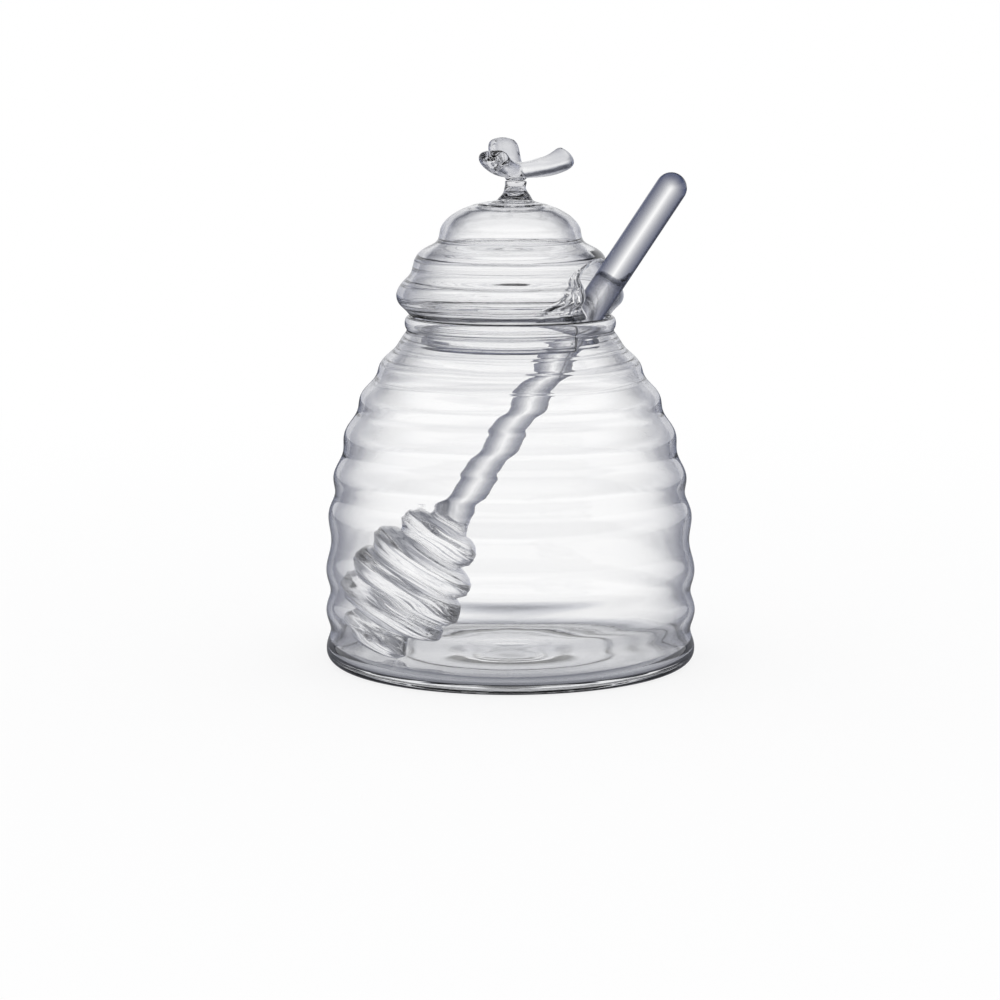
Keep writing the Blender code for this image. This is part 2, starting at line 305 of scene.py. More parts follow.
def stand(piece, place, way):
    """Moves a mesh built about Z so that its Z runs along a way from a place."""
    turn = Vector((0.0, 0.0, 1.0)).rotation_difference(Vector(way)).to_matrix().to_4x4()
    piece.data.transform(Matrix.Translation(Vector(place)) @ turn)


def dress(piece, material, slot, body, *nodes):
    """Gives a piece its glass and hangs it on its CAD body in place of the nodes that it shows."""
    piece.data.materials.append(material)
    hang(piece, slot, body, *nodes)


def hang(piece, slot, body, *nodes):
    """Hangs a piece on its CAD body in place of the nodes that it shows."""
    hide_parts(*nodes)
    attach(piece, body)


# Properties


def size(name, description, default):
    """A length in metres that a user may change."""
    return FloatProperty(name=name, description=description, default=default, unit="LENGTH", precision=5)


def angle(name, description, degrees):
    """An angle that a user may change, given in degrees."""
    return FloatProperty(
        name=name, description=description, default=math.radians(degrees), subtype="ANGLE"
    )


def share(name, description, default):
    """A share from nothing to one that a user may change."""
    return FloatProperty(
        name=name, description=description, default=default, min=0.0, max=1.0, subtype="FACTOR"
    )


def colour(name, description, default):
    """A colour that a user may change."""
    return FloatVectorProperty(
        name=name, description=description, default=default, min=0.0, max=1.0, subtype="COLOR"
    )


# Glass


class GlassLook(PropertyGroup):
    tint: colour("Tint", "Colour that light takes on its way through thick glass", (0.50, 0.52, 0.58))
    depth: FloatProperty(
        name="Depth", description="Strength of that tint, per metre of glass", default=2.5, min=0.0
    )
    skin: colour("Skin", "Colour of a single surface of the glass", (1.0, 1.0, 1.0))
    smudge: colour("Smudge", "Colour of a surface where it has been handled", (0.98, 0.982, 0.99))
    # Painted shade: rim is the colour that the glass turns to where a surface is seen along its slope, in
    # place of the dim studio sides that glass edges show
    rim: colour("Rim", "Colour of a surface that is seen along its slope", (0.0, 0.012, 0.08))
    rim_fall: FloatProperty(
        name="Rim fall", description="How fast a surface darkens as it turns away", default=4.6, min=0.0
    )
    # Painted shade: level surfaces get less of it than upright ones, as if the studio were bright overhead
    # and dim at the sides
    clear_top: share("Clear top", "How much less of that a level surface has than an upright one", 0.97)
    # Painted shade: the solid rod darkens toward its sides, more outside the jar and at its tip
    rod_fall: FloatProperty(
        name="Rod fall", description="How fast the solid rod darkens toward its sides", default=3.7, min=0.0
    )
    bend: FloatProperty(name="Bend", description="Refractive index of the glass", default=1.47, min=1.0)
    # Painted light: the notch's edge is an opaque pale band in place of the light that the glass wall
    # carries out there, with grey streaks of painted shade
    lip_painted_light: colour("Lip edge", "Colour of the polished edge of the lid's notch", (0.86, 0.87, 0.90))
    lip_painted_streak: colour("Lip streak", "Colour of the streaks in that edge", (0.42, 0.44, 0.50))
    wave: size("Wave", "Height of the faint waves in the glass", 0.00005)
    bloom: share("Bloom", "Roughness of the glass where it is least clean", 0.02)


# Painted shade on slopes: its power, and the share of it that stays near the notch
RIM_POWER = 2.8
CALM_SHARE = 0.12
CRISP = 0.08
# The solid rod's painted shade: its power, where it starts along the dipper, and its fall inside, outside
# and at its tip
ROD_POWER = 0.55
ROD_START = (0.020, 0.028)
ROD_INSIDE = 0.78
ROD_OUTSIDE = 0.22
OUTSIDE_BAND = (0.086, 0.098)
ROD_CAP = 0.5
CAP_BAND = (0.1385, 0.1442)
# The fine lines of painted shade, and how far single lines stand out
LINE_STRETCH = (0.02, 0.02, 1.0)
LINE_BAND = (0.56, 0.68)
LINE_RELIEF = 3.0
FINE_TO_BROAD = 3.7
# Waves to a metre, and how far they sway a single line to and fro
RING_SWAY = (38.0, 0.0014)
CIRCLE_SWAY = (30.0, 0.0012)
# The heights between which the floor's upper side lies
FLOOR_START = (0.0012, 0.0022)
FLOOR_END = (0.0055, 0.0085)
CLOUD_GRAIN = 55.0
CLOUD_BAND = (0.52, 0.85)


def single_lines(place, value, sway, lines):
    """Lines across a value, which give painted shade and a little raised height: for each middle m, half
    width w and share s, s exp(-((value - m) / w)^2).

    Sway is two numbers: how many waves to a metre the lines have, and how far those move them.
    """
    grain, reach = sway
    value = value + (place.noise(grain, 1.0) - 0.5) * reach
    steps = [((value - middle) * (1 / width), part) for middle, width, part in lines]
    return sum((step * step).fall() * part for step, part in steps)


def glass(
    name, look, lines, grain, stretch, depth=1.0, axis=None, power=RIM_POWER, relief=1.0, crisp=CRISP,
    rings=(), circles=(), calm=None,
):
    """Clear glass with faint waves, cloudy bloom, painted shade on its slopes and a little grey in its
    depth.

    Lines gives the fine grey lines that blowing draws round the glass, their grey painted shade: how many
    to a metre, how dark, and the heights between which they set in. Grain is how many waves there are to a
    metre, and stretch pulls them out: a large last number lays them in rings, as on a turned piece. Relief
    multiplies their height, and crisp is the share of small ones in them. Depth is a share of the
    look's own. The share of the rim's colour, a painted shade, is 1 - exp(-fall f^p (1 - clear n^2) -
    lines), where f is nothing facing on and one edge on, p the power and n the normal's Z, so that upright
    slopes get more of it than level ones. Axis, if given, is a point and a direction: waves and lines lie
    in rings round it, and the solid rod that starts beyond the head there takes 1 - exp(-rod fall f^0.55),
    a painted shade toward its sides. Rings are single lines round the glass, by height, and circles are
    single lines on the floor, by distance from the axis. They stand out of the surface a little and carry
    painted shade along them. Calm, if given, is a point and two distances from it: slopes stay nearly
    clear of the painted shade up to the first and are as elsewhere from the second on.
    """
    count, strength, *heights = lines
    material = bpy.data.materials.new(name)
    wire, output = empty_tree(material)
    place = wire.node("ShaderNodeTexCoord", output="Object")
    level = wire.node("ShaderNodeTexCoord", output="Normal").part("Z")
    slope = wire.node("ShaderNodeLayerWeight", None, {"Blend": 0.5}, output="Facing")
    # Painted shade: darker toward edge on, less on level surfaces
    dark = slope**power * look.rim_fall * (1 - level**2.0 * look.clear_top)
    drawn = place.part("Z").ease(*heights) * strength
    # Less of that painted shade near the notch
    if calm:
        point, near, far = calm
        away = place.vector("DISTANCE", point, output="Value")
        dark = dark * (CALM_SHARE + (1 - CALM_SHARE) * away.ease(near, far))
    grained = place
    if axis:
        start, way = axis
        turn = Vector(way).rotation_difference(Vector((0.0, 0.0, 1.0))).to_euler()
        inputs = {"Vector": place.vector("SUBTRACT", start), "Rotation": turn}
        grained = wire.node("ShaderNodeMapping", POINTS, inputs)
        along = grained.part("Z")
        rod = along.ease(*ROD_START)
        fall = ROD_INSIDE + ROD_OUTSIDE * along.ease(*OUTSIDE_BAND) + ROD_CAP * along.ease(*CAP_BAND)
        # Painted shade on the rod's sides in place of the slope shade
        dark = dark + (slope**ROD_POWER * (look.rod_fall * fall) - dark) * rod
        drawn = (1 - rod) * strength
    # Fine grey lines along the cords of the glass, their grey painted shade
    dark = dark + grained.noise(count, 3.0, LINE_STRETCH).ease(*LINE_BAND) * drawn
    height = grained.noise(grain, 2.0, stretch) + crisp * grained.noise(FINE_TO_BROAD * grain, 3.0, stretch)
    single = []
    if rings:
        single.append(single_lines(place, place.part("Z"), RING_SWAY, rings))
    if circles:
        radial = place.vector("MULTIPLY", (1.0, 1.0, 0.0)).vector("LENGTH", output="Value")
        floor = place.part("Z").ease(*FLOOR_START) * (1 - place.part("Z").ease(*FLOOR_END))
        single.append(single_lines(place, radial, CIRCLE_SWAY, circles) * floor)
    # Each single line adds painted shade along it and lifts the bump a little
    for drawing in single:
        dark = dark + drawing
        height = height + drawing * LINE_RELIEF
    inputs = {"Strength": 1.0, "Distance": look.wave * relief, "Height": height}
    bump = wire.node("ShaderNodeBump", None, inputs)
    cloud = place.noise(CLOUD_GRAIN, 4.0).ease(*CLOUD_BAND)
    skin = cloud.blend(opaque(look.skin), opaque(look.smudge))
    inputs = {
        "Base Color": (1 - dark.fall()).blend(skin, opaque(look.rim)),
        "Roughness": cloud * look.bloom,
        "IOR": look.bend,
        "Transmission Weight": 1.0,
        "Normal": bump,
    }
    wire.node("ShaderNodeBsdfPrincipled", None, inputs).into(output["Surface"])
    inputs = {"Color": opaque(look.tint), "Density": look.depth * depth}
    wire.node("ShaderNodeVolumeAbsorption", None, inputs).into(output["Volume"])
    return material


# Jar


class JarSizes(PropertyGroup):
    radius: size("Radius", "Greatest outer radius, on a rib", 0.0550)
    height: size("Height", "From the table to the top of the rim", 0.1030)
    neck_height: size("Neck height", "Where the shoulder meets the neck", 0.0983)
    neck_radius: size("Neck radius", "Outer radius of the neck", 0.0307)
    wall: size("Wall", "Thickness of the glass", 0.0018)
    rib: size("Rib height", "Half of the depth of the wave that makes the ribs", 0.00063)
    crease: size("Crease", "How much thicker the wall is in the grooves under the neck", 0.00036)
    low_crease: size("Low crease", "The same in the grooves of the belly", 0.00003)
    side_crease: size("Side crease", "The same in all grooves at the left and right", 0.00003)
    unevenness: size("Unevenness", "How far blown glass wanders from round", 0.00012)
    bead: size("Rim bead", "Thickness of the rim's rounded bead", 0.0028)
    bead_height: size("Bead height", "Height of the rim's bead", 0.0044)
    foot_round: size("Foot round", "Radius of the corner round the foot", 0.0034)
    floor: size("Floor", "Thickness of the bottom at its edge", 0.0026)
    floor_round: size("Floor round", "Radius of the inner corner at the floor", 0.0030)
    mound_radius: size("Mound radius", "Radius of the swelling in the floor", 0.0335)
    hollow_radius: size("Hollow radius", "Radius of the hollow under the floor", 0.0440)
    mound: size("Mound", "How far the floor swells upward in the middle", 0.0012)
    hollow: size("Hollow", "How far the underside rises in the middle", 0.0010)
    ripple: size("Ripple", "Height of the rings pressed in the floor", 0.00008)
    ripple_length: size("Ripple length", "Distance between those rings", 0.0150)


RIB_CREST_SHARES = (0.038, 0.155, 0.280, 0.447, 0.567, 0.696, 0.811, 0.910)
BELLY_POWER = 4.0
SHOULDER_POWER = 1.08
RIB_FADE_SHARE = 0.06
SHOULDER_SHARES = (0.44, 0.62)
PHASE_STEPS = 60
# How many columns the jar has, and how many rows each stretch of its outline
JAR_COLUMNS = 156
WALL_ROWS = 200
INNER_ROWS = 260
BEAD_ROWS = 30
FOOT_ROWS = 14
CORNER_ROWS = 10
FLOOR_ROWS = 56
# Each wave of blown glass: how many go round, where it starts, how far it drifts upward, and its share
BLOWN_WAVES = ((2, 1.1, 3.0, 1.0), (3, 2.0, -5.0, 0.7), (5, 0.4, 9.0, 0.5))


def jar_wall(jar, count, crease=0.0, low_crease=0.0):
    """Outer wall from the neck down to the foot, less a crease in the grooves high up and low down.

    With t the height as a share of the neck's, the radius is neck + (belly - neck) (1 - t^4)^1.08,
    plus rib cos(2 pi phase), where the phase is a whole number on each crest. The wave fades out
    in the last hundredths below the neck. A crease takes crease (1 - |2 phase - 1|)^2 away, with the
    phase's fraction, so that it has a sharp edge in the middle of each groove.
    """
    crests = np.array(RIB_CREST_SHARES)
    ends = [2 * crests[0] - crests[1], *crests, 2 * crests[-1] - crests[-2]]
    t = np.linspace(1.0, jar.foot_round / jar.neck_height, count)
    knots = np.arange(-1, len(crests) + 1)
    fine = np.linspace(-1, len(crests), PHASE_STEPS * len(crests))
    bent = smooth_curve(np.stack([knots, ends], axis=1), PHASE_STEPS)
    phase = np.interp(t, np.interp(fine, bent[:, 0], bent[:, 1]), fine)
    belly = jar.radius - jar.rib
    dome = jar.neck_radius + (belly - jar.neck_radius) * (1 - t**BELLY_POWER) ** SHOULDER_POWER
    fade = np.clip((1 - t) / RIB_FADE_SHARE, 0.0, 1.0)
    edge = (1 - np.abs(2 * (phase % 1.0) - 1)) ** 2
    depth = low_crease + (crease - low_crease) * smooth_step(t, *SHOULDER_SHARES)
    radius = dome + fade * (jar.rib * np.cos(TURN * phase) - depth * edge)
    return np.stack([radius, t * jar.neck_height], axis=1)


def jar_outline(jar, crease):
    """Outline from the middle of the floor out, up inside, over the bead, down outside and under.

    The inner wall has a crease of this depth in the grooves high up.
    """
    wall = jar_wall(jar, WALL_ROWS)
    inner = inset(jar_wall(jar, INNER_ROWS, crease, jar.low_crease), jar.wall)[::-1]
    inner = inner[inner[:, 1] > jar.floor + jar.floor_round + jar.wall / 4]
    neck = (jar.neck_radius - jar.wall / 2, jar.height - jar.bead_height / 2)
    bead = arc(neck, jar.bead / 2, jar.bead_height / 2, 235, -55, BEAD_ROWS)
    low = (wall[-1, 0] - jar.foot_round, jar.foot_round)
    foot = arc(low, jar.foot_round, jar.foot_round, 0, -90, FOOT_ROWS)
    centre = (inner[0, 0] - jar.floor_round, jar.floor + jar.floor_round)
    corner = arc(centre, jar.floor_round, jar.floor_round, -90, 0, CORNER_ROWS)
    radii = np.linspace(0.0, jar.hollow_radius, FLOOR_ROWS)
    swell = 1 - smooth_step(radii, 0.0, jar.mound_radius)
    ripple = jar.ripple * np.cos(TURN * radii / jar.ripple_length) * np.cos(np.pi / 2 * radii / radii[-1])
    floor = np.stack([radii, jar.floor + jar.mound * swell + ripple], axis=1)
    arch = 0.5 + 0.5 * np.cos(np.pi * radii / jar.hollow_radius)
    under = np.stack([radii, jar.hollow * arch], axis=1)[::-1]
    return np.vstack([floor, corner, inner, bead, wall, foot[1:], under])


def hand_blown(outline, columns, depth):
    """Radius errors of blown glass: a few long waves round the piece that drift with height."""
    angles = round_angles(columns)
    heights = outline[:, 1:] / outline[:, 1].max()
    away = np.clip(outline[:, :1] / outline[:, 0].max(), 0.0, 1.0) ** 2
    waves = (tall * np.sin(n * angles + start + drift * heights) for n, start, drift, tall in BLOWN_WAVES)
    return depth * away * sum(waves)


JAR_GLASS = {
    "lines": (420.0, 0.17, 0.055, 0.095),
    "grain": 70.0,
    "stretch": (0.5, 0.5, 2.6),
    "power": 3.8,
    # Single lines of painted shade, raised a little: rings by height, circles on the floor by distance from
    # the axis
    "rings": (
        (0.0984, 0.00022, 0.7),
        (0.0958, 0.00024, 0.4),
        (0.0930, 0.00022, 0.3),
        (0.0894, 0.00030, 0.3),
        (0.0838, 0.00014, 0.15),
    ),
    "circles": (
        (0.0470, 0.0014, 1.1),
        (0.0385, 0.0030, 0.35),
        (0.0300, 0.0012, 0.9),
        (0.0120, 0.0010, 0.22),
    ),
}


class HONEYPOT_OT_jar(Operator):
    """Builds the ribbed jar as one turned wall of glass with a beaded rim and a thick floor"""

    bl_idname = "honeypot.jar"
    bl_label = "Jar"

    def execute(self, context):
        jar = context.scene.honeypot_jar
        outline = jar_outline(jar, jar.crease)
        sides = jar_outline(jar, jar.side_crease)
        toward = np.cos(round_angles(JAR_COLUMNS)) ** 2
        reach = hand_blown(outline, JAR_COLUMNS, jar.unevenness)
        reach = reach + (sides[:, :1] - outline[:, :1]) * toward
        piece = turned_piece("jar_glass", outline, JAR_COLUMNS, reach)
        look = glass("jar_glass", context.scene.honeypot_glass, **JAR_GLASS)
        dress(piece, look, "jar_glass", "jar", "jar_body")
        return {"FINISHED"}


# Lid


class LidSizes(PropertyGroup):
    radius: size("Radius", "Greatest outer radius, on the lower bulge", 0.0336)
    height: size("Height", "From the rim to the top of the dome", 0.0337)
    seat_gap: size("Seat gap", "Air between the lid and the rim", 0.0003)
    dome_radius: size("Dome radius", "Radius of the dome's ellipse", 0.0210)
    dome_rise: size("Dome rise", "Height of the dome's ellipse", 0.0105)
    wall: size("Wall", "Thickness of the glass", 0.0018)
    soften: size("Soften", "How far the inside's bends are eased", 0.0028)
    collar_radius: size("Collar radius", "Outer radius of the collar in the neck", 0.0263)
    collar_depth: size("Collar depth", "How far the collar reaches below the rim", 0.0102)
    seat_round: size("Seat round", "Corner between the seat and the collar", 0.0010)
    stem_radius: size("Stem radius", "Radius of the stem where it is slimmest", 0.0029)
    stem_height: size("Stem height", "Height of the stem above the dome", 0.0055)
    stem_offset: size("Stem offset", "How far the stem stands beside the lid's axis", 0.0015)
    flare_radius: size("Flare radius", "Where the stem's foot has melted into the dome", 0.0085)
    pucker: size("Pucker", "Depth of the ripples that the hot stem left inside the dome", 0.0003)
    notch_side: angle("Notch side", "Half of the notch's width about the axis", 21.5)
    notch_turn: angle("Notch turn", "Direction of the notch's middle", -22.0)
    notch_top: size("Notch top", "Height of the notch above the rim", 0.0172)
    notch_round: size("Notch round", "Height of the arch at the notch's top", 0.0060)
    lip: size("Lip", "How much the melted lip of the notch is thinner than the wall", 0.0003)
    lip_reach: size("Lip reach", "How far the thinning spreads from the lip", 0.0022)
    press: size("Press", "How far the near side of the notch was pressed in while hot", 0.0062)
    press_reach: size("Press reach", "How far from the lip that side bends, at its foot", 0.0185)
    fold: size("Fold", "Height of the folds that the pressing left on the outside there", 0.00072)
    knobble: size("Knobble", "Depth of the uneven waves on the hot-worked stem", 0.00016)


BULGE_OUTLINE_SHARES = (
    (0.662, 0.631),
    (0.620, 0.668),
    (0.560, 0.778),
    (0.500, 0.830),
    (0.430, 0.853),
    (0.357, 0.877),
    (0.280, 0.948),
    (0.220, 0.987),
    (0.160, 1.0),
    (0.100, 0.979),
    (0.040, 0.920),
)
# Points along the outlines, and how many to each side are averaged to match the inner to the outer
PATH_POINTS = 2400
INNER_POINTS = 3000
MATCH_WIDTH = 7
# Rows above the notch, over its arch and below it, on the dome outside and inside, and on the stem's top
ABOVE_ROWS = 24
ARCH_ROWS = 22
BELOW_ROWS = 110
DOME_ROWS = 40
INSIDE_ROWS = 60
CAP_ROWS = 9
# The stem's outline as (share of the stem's height, share of its radius), from the top down
STEM_OUTLINE_SHARES = ((1.0, 1.05), (0.72, 1.02), (0.50, 1.18), (0.30, 1.40), (0.10, 1.64), (-0.05, 1.95))


def lid_outer(lid, jar):
    """Outer outline from the top of the dome down over the bulges and the seat to the collar's foot."""
    seat = jar.height + lid.seat_gap
    top = seat + lid.height
    dome = arc((0.0, top - lid.dome_rise), lid.dome_radius, lid.dome_rise, 90, 12, 50)
    bulges = [(lid.radius * r, seat + lid.height * z) for z, r in BULGE_OUTLINE_SHARES]
    edge = (jar.neck_radius - jar.wall / 2, seat)
    bulges = smooth_curve([dome[-1], *bulges, edge], 10)
    turn = lid.seat_round
    corner = arc((lid.collar_radius + turn, seat - turn), turn, turn, 90, 180, 8)
    foot = (lid.collar_radius, seat - lid.collar_depth + lid.wall / 2)
    return np.vstack([dome[:-1], bulges, corner, [foot]])


def softened(path, reach, floor):
    """The path with its bends eased over a reach, except at its start and close to a floor height."""
    path = spaced(path, PATH_POINTS)
    step = travelled(path)[-1] / (len(path) - 1)
    width = int(reach / step)
    kernel = np.hanning(2 * width + 1)
    kernel /= kernel.sum()
    padded = np.vstack([2 * path[0] - path[width:0:-1], path, 2 * path[-1] - path[-2 : -width - 2 : -1]])
    eased = np.stack([np.convolve(padded[:, i], kernel, mode="valid") for i in range(2)], axis=1)
    keep = np.clip((path[:, 1:] - floor) / reach - 0.5, 0.0, 1.0)
    return path + (eased - path) * keep


def across_the_wall(rows, inner, wall):
    """For each outer row, the point of the inner outline that lies across the wall from it."""
    inner = spaced(inner, INNER_POINTS)
    target = rows + wall * normals(rows)
    gap = np.linalg.norm(target[:, None] - inner[None], axis=2)
    nearest = np.maximum.accumulate(np.argmin(gap, axis=1)).astype(float)
    nearest[-1] = len(inner) - 1
    padded = np.pad(nearest, MATCH_WIDTH, mode="edge")
    kernel = np.hanning(2 * MATCH_WIDTH + 1)
    eased = np.convolve(padded, kernel / kernel.sum(), mode="valid")
    eased[0] = nearest[0]
    eased[-1] = len(inner) - 1
    return np.stack([np.interp(eased, np.arange(len(inner)), inner[:, i]) for i in range(2)], axis=1)


def stem_outline(lid, path):
    """Outline of the solid stem from its axis at the top out and down into the dome's outline."""
    base = path[0, 1]
    tall = lid.stem_height
    flank = [(lid.stem_radius * r, base + tall * z) for z, r in STEM_OUTLINE_SHARES]
    corner = lid.stem_radius / 8
    flank[0] = (flank[0][0], flank[0][1] - corner)
    meet = int(np.searchsorted(path[:, 0], lid.flare_radius))
    joined = smooth_curve([*flank, path[meet], path[meet + 40]], 14)[:-14]
    top = np.linspace(0.0, flank[0][0] - corner, CAP_ROWS)
    cap = np.stack([top, np.full(CAP_ROWS, flank[0][1] + corner)], axis=1)
    edge = arc((flank[0][0] - corner, flank[0][1]), corner, corner, 80, 10, 5)
    return np.vstack([cap, edge, joined]), meet


def puckers(lid, radii):
    """Heights of the ripples that the hot stem left inside the dome, at distances from its axis.

    With r the share of the flare's radius, the height is the pucker's times
    0.6 cos(5.2 pi r) exp(-(1.1 r)^2) - exp(-(2.2 r)^2).
    """
    r = radii / lid.flare_radius
    ripple = 0.6 * np.cos(TURN * 2.6 * r) * np.exp(-((1.1 * r) ** 2)) - np.exp(-((2.2 * r) ** 2))
    return lid.pucker * ripple


def lid_outlines(lid, jar):
    """The lid's outer and inner outlines, the notch's half angle on each row, and the count that match.

    The half angle is nothing above the notch. With d the distance below its top, it is
    side sqrt(1 - (1 - d/round)^2) down to the round, and the side from there down. Rows crowd
    together at the top of the arch. The last rows of both outlines lie across the wall from each other.
    """
    path = spaced(lid_outer(lid, jar), PATH_POINTS)
    gone = travelled(path)
    outside = np.arange(len(path)) > np.argmax(path[:, 0] > lid.dome_radius)
    below_top = path[:, 1] < jar.height + lid.seat_gap + lid.notch_top
    apex = gone[int(np.argmax(outside & below_top))]
    start = apex - 5 * lid.lip_reach
    above = np.linspace(start, apex, ABOVE_ROWS)[:-1]
    bend = 1 - np.cos(np.linspace(0.0, np.pi / 2, ARCH_ROWS))
    arch = apex + lid.notch_round * bend
    below = np.linspace(arch[-1], gone[-1], BELOW_ROWS)[1:]
    matched = at_distance(path, np.concatenate([above, arch, below]))
    side = lid.notch_side * np.sqrt(1 - (1 - bend) ** 2)
    half = np.concatenate([np.zeros(len(above)), side, np.full(len(below), lid.notch_side)])
    inner = softened(inset(path, lid.wall), lid.soften, jar.height + lid.seat_gap)
    inner[0] = (0.0, path[0, 1] - lid.wall)
    inner[-1] = path[-1] - (lid.wall, 0.0)
    inner_matched = across_the_wall(matched, inner, lid.wall)
    stem, meet = stem_outline(lid, path)
    outer_free = np.vstack([stem, at_distance(path, np.linspace(gone[meet], start, DOME_ROWS)[1:-1])])
    inner_gone = travelled(inner)
    reach = inner_gone[int(np.argmin(np.linalg.norm(inner - inner_matched[0], axis=1)))]
    inner_free = at_distance(inner, np.linspace(0.0, reach, INSIDE_ROWS)[:-1])
    inner_free[:, 1] += puckers(lid, inner_free[:, 0])
    outlines = (np.vstack([outer_free, matched]), np.vstack([inner_free, inner_matched]))
    return outlines, half, len(matched)


LID_COLUMNS = 170
CROWDING = 0.7
PRESS_START = (0.02, 0.24)
PRESS_POWER = 1.3
# Each fold: where it lies and how wide it is, as shares of the pressed reach, and its share of the height
FOLDS = ((0.98, 0.05, 1.0), (0.66, 0.05, 0.7), (0.40, 0.06, 0.8), (0.16, 0.05, 0.5))
FOLD_POWER = 0.35
# How the folds waver with height: the reach of each wave, how many fit the notch, and where it starts
FOLD_SWAY = ((0.07, 3.4, 0.6), (0.03, 7.3, 0.0))
KNOBBLE_LENGTHS = (0.0052, 0.0034)


def lid_sheet(outline, half, rise, lid, seat, fold):
    """Grid of an outline turned about Z from one side of the notch round to the other.

    Column j of a row stands at the angle turn + half + (2 pi - 2 half) v, where v is
    u - 0.7 sin(2 pi u) / (2 pi) and u is j / (columns - 1), so that columns crowd at the notch. Half
    is the notch's half angle on the last rows, and rise is h, the share of its height there. With a
    the way round to the notch's last side and s = a / (reach (1 - h)), the radius is less
    press (1 - h) (1 - s)^1.3. Folds stand out at a few places of s, as
    fold exp(-((s - place) / width)^2), and waver with height. The stem gets waves round it and is moved
    sideways by its offset, both of which ease out to nothing where its flare ends.
    """
    half = np.r_[np.zeros(len(outline) - len(half)), half][:, None]
    h = np.r_[np.ones(len(outline) - len(rise)), rise][:, None]
    part = np.linspace(0.0, 1.0, LID_COLUMNS)[None, :]
    part = part - CROWDING * np.sin(TURN * part) / TURN
    turn = lid.notch_turn + half + (TURN - 2 * half) * part
    room = np.clip(1 - h, 0.0, 1.0)
    away = outline[:, :1] * (TURN - 2 * half) * (1 - part)
    along = away / (lid.press_reach * np.maximum(room, 0.0001))
    depth = room * smooth_step(h, *PRESS_START)
    radius = outline[:, :1] - lid.press * depth * np.clip(1 - along, 0.0, 1.0) ** PRESS_POWER
    sway = along
    for reach, waves, start in FOLD_SWAY:
        sway = sway + reach * np.sin(TURN * waves * h + start)
    ridges = sum(tall * np.exp(-(((sway - at) / width) ** 2)) for at, width, tall in FOLDS)
    radius = radius + fold * ridges * depth**FOLD_POWER
    height = np.repeat(outline[:, 1:], LID_COLUMNS, axis=1)
    near = smooth_step(2 * (1 - radius / lid.flare_radius), 0.0, 1.0)
    up, down = (TURN * height / length for length in KNOBBLE_LENGTHS)
    wave = np.sin(2 * turn + up) + 0.7 * np.sin(3 * turn - down)
    solid = smooth_step(height, seat + lid.height, seat + lid.height + lid.stem_height / 3)
    radius = radius + lid.knobble * wave * solid * np.clip(radius / lid.stem_radius, 0.0, 1.0) ** 2
    x = radius * np.cos(turn) + lid.stem_offset * near
    return np.stack([x, radius * np.sin(turn), height], axis=-1)


LIP_POINTS = 9
# Which of the lid's grids are its lip
LIP_GRIDS = (2, 3, 4, 5)


def lip_strip(pair, toward, first=None):
    """A strip with a half-round section between two lines of points.

    With m and h the middle and half of the step between the lines, and b a unit vector out of the
    glass at right angles to both the line and the step, its points are m + h cos a + |h| b sin a.
    First, if given, is the way out of the glass at the start.
    """
    middle = pair.mean(axis=0)
    step = (pair[0] - pair[1]) / 2
    out = np.cross(np.gradient(middle, axis=0), step)
    out *= np.sign((out * (toward - middle)).sum())
    if first is not None:
        out[0] = first
    out -= step * ((out * step).sum(axis=1) / (step**2).sum(axis=1))[:, None]
    out /= np.linalg.norm(out, axis=1, keepdims=True)
    reach = np.linalg.norm(step, axis=1, keepdims=True)
    bend = np.linspace(0.0, np.pi, LIP_POINTS)[None, :, None]
    strip = middle[:, None] + step[:, None] * np.cos(bend) + (out * reach)[:, None] * np.sin(bend)
    return strip, out


def lip_corner(strip, sideways, down):
    """A quarter of a ball that closes the corner between the last section of a strip and the foot's.

    With m, h and |h| as for a strip, its points are m + h cos a + |h| sin a (b cos c + d sin c),
    where b points out of the strip's side and d downward, and c runs over a quarter turn.
    """
    middle = (strip[0] + strip[-1]) / 2
    step = strip[0] - middle
    reach = np.linalg.norm(step)
    bend = np.linspace(0.0, np.pi, LIP_POINTS)[None, :, None]
    turn = np.linspace(0.0, np.pi / 2, LIP_POINTS)[:, None, None]
    out = sideways * np.cos(turn) + down * np.sin(turn)
    return middle + step * np.cos(bend) + reach * out * np.sin(bend)


